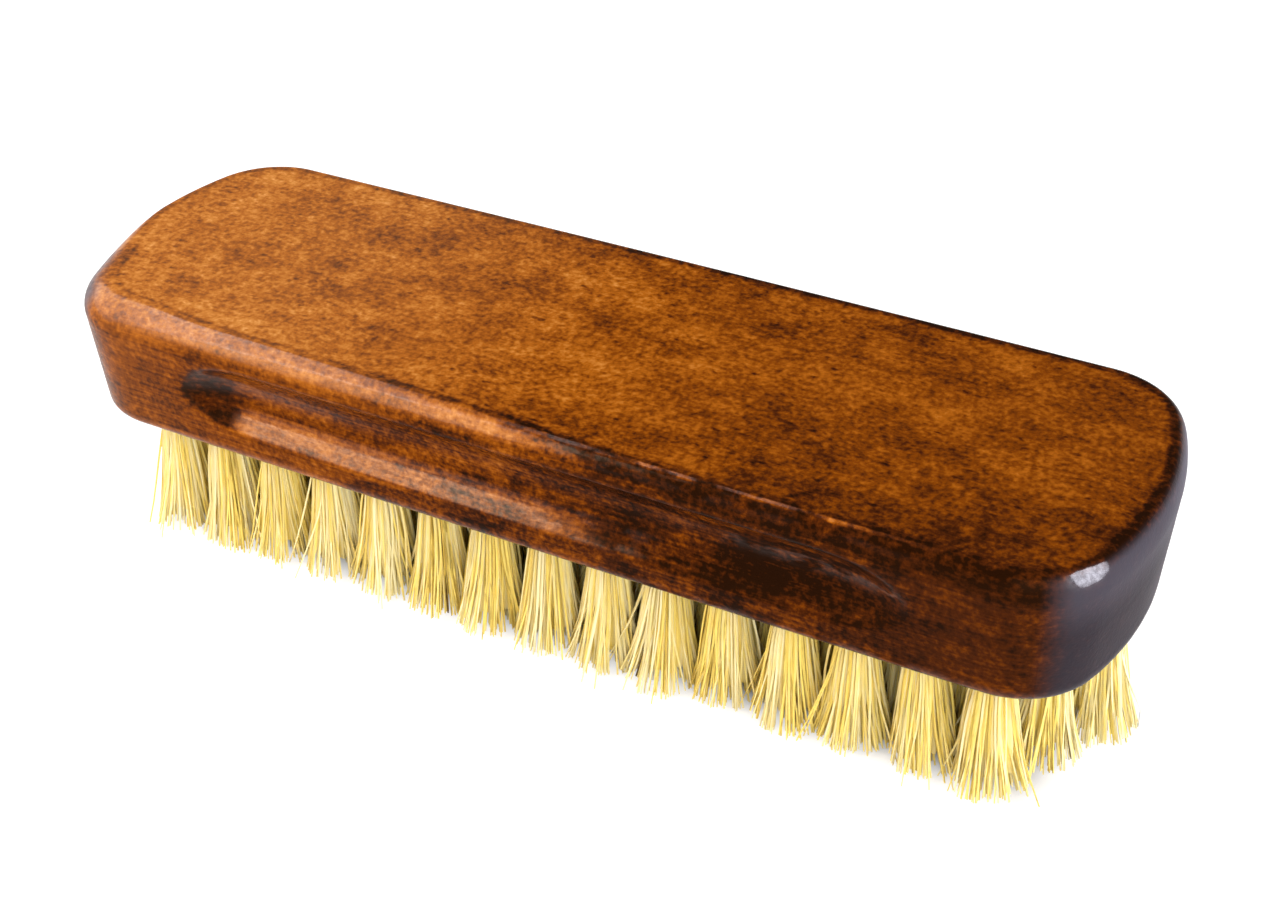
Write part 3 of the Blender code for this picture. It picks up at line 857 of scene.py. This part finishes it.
def growHearts(places, lean, draw):
    # The inner heart of each tuft: a fluted cone inside the outer strands, closed to a point
    flutes, run = heart["flutes"], np.array(heart["runs"])[None, :, None]
    around = np.arange(flutes) * 2 * math.pi / flutes
    standing = heart["fluteDepth"] * np.where(np.arange(flutes) % 2, 1, -1)
    ridge = 1 + standing + draw.normal(0, heart["fluteChance"], (len(places), 1, flutes))
    out = tuftRadius(run) * heart["share"] * np.array(heart["girths"])[None, :, None] * ridge
    hearts = np.empty(out.shape + (3,))
    for axis, circle in enumerate((np.cos(around), np.sin(around))):
        leaning = lean[:, axis, None, None] * run**bristle["leanPower"]
        hearts[..., axis] = places[:, axis, None, None] + out * circle + leaning
    hearts[..., 2] = underside * (1 - run)
    hearts[:, 0, :, 2] += bristle["inHole"]
    return hearts


def tubeFaces(first, rings, columns):
    # The walls and both ends of tubes whose points start at the indices in first
    walls = (first[:, :, None] + wrapQuads(rings, columns)[None]).reshape(-1, 4)[:, ::-1]
    top = first + np.arange(columns)
    return [walls, top, top[:, ::-1] + (rings - 1) * columns]


def growTufts(name, places, seed):
    # A strand starts at a point (rho, phi) of its hole's disc and runs down by t from 0 at the wood to 1
    # at the tip. It moves out with the tuft's radius, is drawn to its lock's own line by clump t, and
    # leans with its tuft by a power of t. A slow sine gives it its own bend.
    draw = np.random.default_rng(seed)
    tufts, strands, locks = len(places), bristle["strands"], bristle["locks"]
    t = np.linspace(0, 1, bristle["sections"] - 1)
    rho = draw.random((tufts, strands))**bristle["crowding"]
    phi = draw.random((tufts, strands)) * 2 * math.pi
    disc = rho[..., None] * np.stack([np.cos(phi), np.sin(phi)], -1)
    lockRho = np.sqrt((np.arange(locks) + 0.5) / locks)
    lockPhi = np.arange(locks) * bristle["lockTurn"] + draw.random((tufts, 1)) * 2 * math.pi
    lockPhi = lockPhi + draw.normal(0, bristle["lockTurnChance"], (tufts, locks))
    lockDisc = lockRho[None, :, None] * np.stack([np.cos(lockPhi), np.sin(lockPhi)], -1)
    lock = np.linalg.norm(disc[:, :, None, :] - lockDisc[:, None, :, :], axis=-1).argmin(-1)
    target = np.take_along_axis(lockDisc, lock[..., None], 1)
    lockJump = draw.normal(0, bristle["lockChance"], (tufts, locks, 2))
    target = target + np.take_along_axis(lockJump, lock[..., None], 1)
    clump = bristle["clump"] * draw.uniform(*bristle["clumpRange"], (tufts, strands))

    run = t[None, None, :, None]
    inDisc = disc[:, :, None, :] + (target - disc)[:, :, None, :] * clump[..., None, None] * run
    path = places[:, None, None, :] + inDisc * tuftRadius(run)
    lean = leanTufts(places, draw)
    bend = draw.normal(0, bristle["bendChance"], (tufts, strands, 2))
    stray = draw.random((tufts, strands)) < bristle["strayShare"]
    reach = draw.uniform(-1, 1, (tufts, strands, 2)) * bristle["strayReach"]
    path = path + lean[:, None, None, :] * run**bristle["leanPower"]
    path = path + bend[:, :, None, :] * np.sin(run * bristle["bendTurn"])
    path = path + np.where(stray[..., None], reach, 0)[:, :, None, :] * run**bristle["strayPower"]

    tip = np.abs(draw.normal(0, bristle["strandRaggedness"], (tufts, strands)))
    tip = tip + np.take_along_axis(draw.random((tufts, locks)) * bristle["lockRaggedness"], lock, 1)
    length = (underside - (tip - tip.min()))[..., None]
    points = np.empty((tufts, strands, bristle["sections"], 3))
    points[:, :, 1:, :2] = path
    points[:, :, 1:, 2] = underside - length * t
    points[:, :, 0, :2] = places[:, None, :] + disc * bristle["rootRadius"] * bristle["rootShare"]
    points[:, :, 0, 2] = underside + bristle["inHole"]
    tubes = tubesRound(points, t, draw)
    hearts = growHearts(places, lean, draw)

    each, flutes, levels = bristle["sections"] * 3, heart["flutes"], len(heart["runs"])
    total = tufts * strands
    tubeFirst = np.arange(total)[:, None] * each
    heartFirst = total * each + np.arange(tufts)[:, None] * levels * flutes
    faces = tubeFaces(tubeFirst, bristle["sections"], 3) + tubeFaces(heartFirst, levels, flutes)
    allPoints = np.concatenate([tubes.reshape(-1, 3), hearts.reshape(-1, 3)])
    piece = makePiece(name, allPoints, faces, naturalBristle)
    piece.data.shade_flat()

    share = bristle["lockToneShare"]
    tone = np.take_along_axis(draw.random((tufts, locks)), lock, 1) * share
    tone = tone + draw.random((tufts, strands)) * (1 - share)
    dark = (draw.random((tufts, strands)) < bristle["darkShare"]) & ~stray & (rho < bristle["darkWithin"])
    tone = np.where(dark, bristle["darkTone"], tone)
    heartTone = np.where(np.arange(flutes) % 2, heart["ridgeTone"], heart["valleyTone"])
    strandTone, heartTone = np.repeat(tone.ravel(), each), np.tile(heartTone, tufts * levels)
    paint(piece, "strandTone", np.concatenate([strandTone, heartTone]))
    strandRun = np.tile(np.repeat(np.concatenate([[0.0], t]), 3), total)
    heartRun = np.tile(np.repeat(heart["runs"], flutes), tufts)
    paint(piece, "strandRun", np.concatenate([strandRun, heartRun]))
    return piece


naturalBristle = makeBristle()
tuftRows, tuftPitch = tuftPlaces()
blockPiece = makeBlock(np.concatenate(tuftRows))
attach(blockPiece, "root")
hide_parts("wooden_block")
print("block made:", len(blockPiece.data.polygons), "faces")

nearNodes = sorted(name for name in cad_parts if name.startswith("tuft_near"))
farNodes = sorted(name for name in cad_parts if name.startswith("tuft_far"))
innerNodes = sorted(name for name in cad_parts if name.startswith("tufts_inner"))
tuftSets = [("nearTufts", tuftRows[0], nearNodes), ("farTufts", tuftRows[4], farNodes)]
# The inner tufts stand in lines across the brush, whose outer tufts lie half a pitch left of the
# middle one. A small overrun keeps those from rounding down to the line before.
innerTufts = np.concatenate(tuftRows[1:4])
innerLine = np.floor(innerTufts[:, 0] / tuftPitch + len(innerNodes) / 2 + 0.01).astype(int)
lineCuts = (0, 6, 11, 17)
for label, start, stop in zip(("Left", "Middle", "Right"), lineCuts, lineCuts[1:]):
    chosen = innerTufts[(innerLine >= start) & (innerLine < stop)]
    tuftSets.append(("innerTufts" + label, chosen, innerNodes[start:stop]))
firstSeed = 5
for seed, (name, places, nodes) in enumerate(tuftSets, firstSeed):
    piece = growTufts(name, places, seed)
    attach(piece, "root")
    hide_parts(*nodes)
    print(name, len(places), "tufts,", len(piece.data.polygons), "faces")


# Camera, lights and floor

camera = {
    "target": (11.22 * mm, -10.0 * mm, 30.58 * mm),
    "azimuth": math.radians(28.50),
    "elevation": math.radians(35.92),
    "roll": math.radians(-1.32),
    "distance": 261.5 * mm,
    "nearest": 1 * mm,
    "lens": 54.71,
    "sensor": 36,
}
lights = (
    # name, direction from the brush, direction of the long side, distance, (width, length), watts, colour
    ("leftSoftbox", (-0.78, -0.15, 0.60), (-0.12, 0.98, 0.10), 0.50, (0.40, 0.54), 2.65, (1, 1, 1)),
    ("lowLeftSoftbox", (-0.50, -0.72, 0.43), (0, 0, 1), 0.50, (0.20, 0.33), 1.15, (1, 0.80, 0.58)),
    ("topSoftbox", (-0.32, -0.08, 0.94), (0, 1, 0), 0.55, (0.12, 0.36), 0.60, (1, 1, 1)),
    ("rightFrontSoftbox", (0.68, -0.71, 0.20), (0, 0, 1), 0.70, (0.75, 0.55), 4.7, (1, 1, 1)),
    ("rightSoftbox", (0.97, -0.05, 0.25), (0, 1, 0), 0.60, (0.24, 0.22), 2.6, (0.88, 0.88, 1)),
    ("backSoftbox", (0.42, 0.88, 0.20), (0, 0, 1), 0.80, (0.70, 0.40), 4.5, (1, 1, 1)),
)
ground = {
    "shader": {"Base Color": (0.40, 0.40, 0.40, 1), "Roughness": 0.8, "Specular IOR Level": 0.1,
               "Emission Color": (1, 1, 1, 1)},
    "half": 12,
    # the floor's glow near the brush and far off, and the rectangle under the brush that has none
    "glow": 0.78,
    "farGlow": 0.96,
    "farReach": (0.1, 0.8),
    "shade": (66 * mm, 13 * mm, 0),
    "shadeSoftness": 8 * mm,
    "worldLight": 0.14,
    "horizonHeights": (0.25, 0.08),
}


def makeCamera():
    data = bpy.data.cameras.new("photoCamera")
    data.sensor_width = camera["sensor"]
    data.lens = camera["lens"]
    data.clip_start = camera["nearest"]
    holder = bpy.data.objects.new("photoCamera", data)
    level = math.cos(camera["elevation"])
    back = Vector((math.sin(camera["azimuth"]) * level, -math.cos(camera["azimuth"]) * level,
                   math.sin(camera["elevation"])))
    holder.location = Vector(camera["target"]) + back * camera["distance"]
    holder.rotation_mode = "QUATERNION"
    rolled = Quaternion((0, 0, 1), camera["roll"])
    holder.rotation_quaternion = (-back).to_track_quat("-Z", "Y") @ rolled
    bpy.context.scene.collection.objects.link(holder)
    bpy.context.scene.camera = holder


def makeLights():
    for name, direction, longSide, distance, sides, watts, colour in lights:
        data = bpy.data.lights.new(name, "AREA")
        data.shape = "RECTANGLE"
        data.size, data.size_y = sides
        data.energy = watts
        data.color = colour
        lamp = bpy.data.objects.new(name, data)
        away = Vector(direction).normalized()
        across = Vector(longSide).cross(away).normalized()
        lamp.location = away * distance
        lamp.rotation_mode = "QUATERNION"
        lamp.rotation_quaternion = Matrix((across, away.cross(across), away)).transposed().to_quaternion()
        lamp.visible_camera = False
        # The lamp behind only lights the far side: in a gloss it would wash out the top in low views
        lamp.visible_glossy = name != "backSoftbox"
        bpy.context.scene.collection.objects.link(lamp)


def addSeenShares(tree):
    # Two shares, 1 for rays that see the background straight, and 1 for those in a gloss or through glass
    path = addNode(tree, "ShaderNodeLightPath").outputs
    reflected = addMath(tree, "ADD", path["Is Glossy Ray"], path["Is Transmission Ray"], clamp=True)
    return path["Is Camera Ray"], reflected


def makeFloor():
    material, tree, shader = newMaterial("paleFloor")
    setSockets(shader, ground["shader"])
    # The glow stays away from under the brush: how far a point lies outside the shaded rectangle
    beyond = addNode(tree, "ShaderNodeTexCoord").outputs["Object"]
    steps = (("ABSOLUTE", (0, 0, 0)), ("SUBTRACT", ground["shade"]), ("MAXIMUM", (0, 0, 0)))
    for operation, second in steps:
        node = addNode(tree, "ShaderNodeVectorMath", {"operation": operation}, _0=beyond, _1=second)
        beyond = node.outputs[0]
    away = addNode(tree, "ShaderNodeVectorMath", {"operation": "LENGTH"}, _0=beyond).outputs["Value"]
    glow = addRemap(tree, away, 0.0, ground["shadeSoftness"], 0.0, ground["glow"])
    # Far from the lamps the glow makes up for their light
    farGlow = addRemap(tree, away, *ground["farReach"], 0.0, ground["farGlow"] - ground["glow"])
    seen = addMath(tree, "ADD", *addSeenShares(tree), clamp=True)
    strength = addProduct(tree, seen, addSum(tree, glow, farGlow))
    tree.links.new(strength, shader.inputs["Emission Strength"])
    half = ground["half"]
    corners = np.array([(-half, -half, 0), (half, -half, 0), (half, half, 0), (-half, half, 0)])
    floor = makePiece("floor", corners, [np.array([[0, 1, 2, 3]])], material)


def makeWorld():
    world = bpy.data.worlds.new("studio")
    bpy.context.scene.world = world
    world.use_nodes = True
    tree = world.node_tree
    background = tree.nodes["Background"]
    background.inputs["Color"].default_value = (1, 1, 1, 1)
    # White where it is seen straight, white down by the horizon in a gloss, and otherwise a plain dim light
    facing = addNode(tree, "ShaderNodeTexCoord").outputs["Generated"]
    height = addNode(tree, "ShaderNodeSeparateXYZ", None, Vector=facing).outputs["Z"]
    straight, reflected = addSeenShares(tree)
    horizon = addProduct(tree, addRemap(tree, height, *ground["horizonHeights"]), reflected)
    white = addMath(tree, "MAXIMUM", straight, horizon)
    strength = addMath(tree, "MULTIPLY_ADD", white, 1 - ground["worldLight"], ground["worldLight"])
    tree.links.new(strength, background.inputs["Strength"])


makeCamera()
makeLights()
makeFloor()
makeWorld()
bpy.context.scene.view_settings.view_transform = "Standard"
print("camera, lights and floor made")
